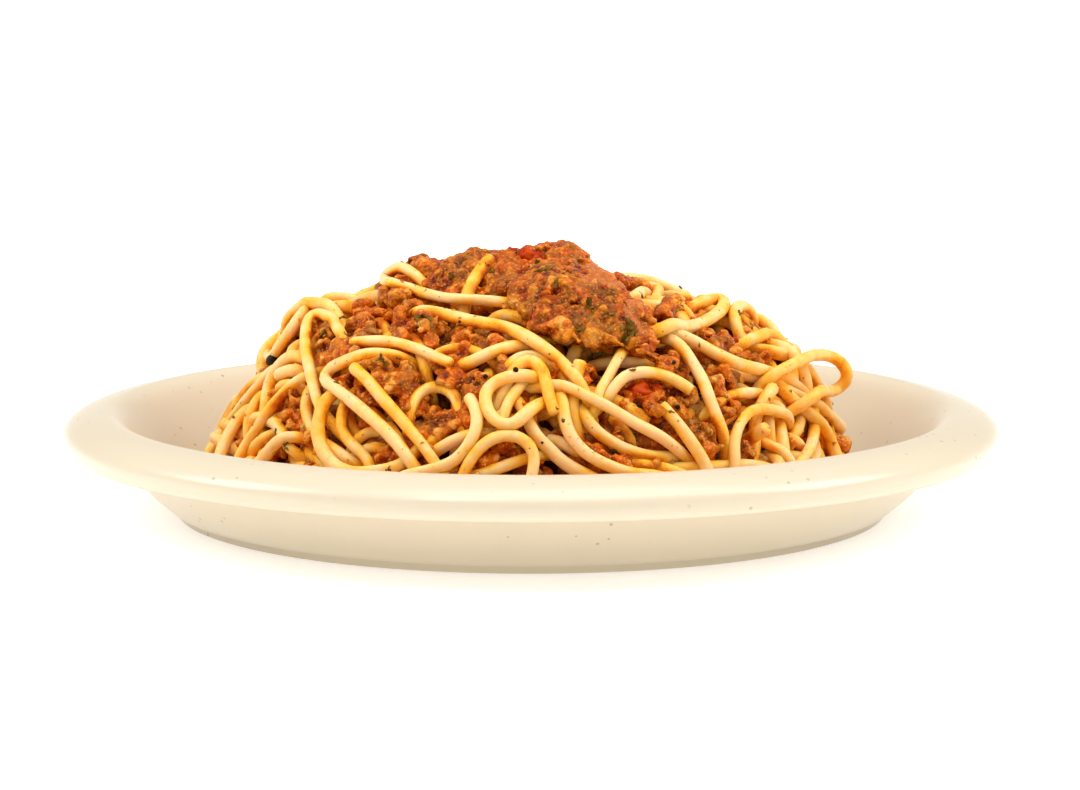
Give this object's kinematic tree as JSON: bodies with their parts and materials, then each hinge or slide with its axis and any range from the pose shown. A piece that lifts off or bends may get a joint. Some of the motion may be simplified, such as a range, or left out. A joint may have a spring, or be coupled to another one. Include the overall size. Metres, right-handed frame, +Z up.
{
  "type": "spaghetti bolognese",
  "caption": "Heap of spaghetti with meat sauce on top, served on a round cream plate with a rolled rim.",
  "frame": {"origin": "under the plate's centre, on the surface that its foot ring stands on", "axes": "+Z up, the plate's axis; -Y towards the side that the sauce hangs down; +X to the right seen from there"},
  "size_m": [0.203, 0.203, 0.0584],
  "materials": {
    "plate": "soft-gloss cream glaze with fine grey-brown specks",
    "spaghetti": "moist cooked pasta, pale yellow with a film of orange sauce",
    "meat_sauce": "moist, coarse brown-red minced meat and tomato sauce with herbs"
  },
  "bodies": {
    "root": {"plate": "plate", "spaghetti": "spaghetti", "meat_sauce": "meat_sauce"}
  },
  "joints": []
}
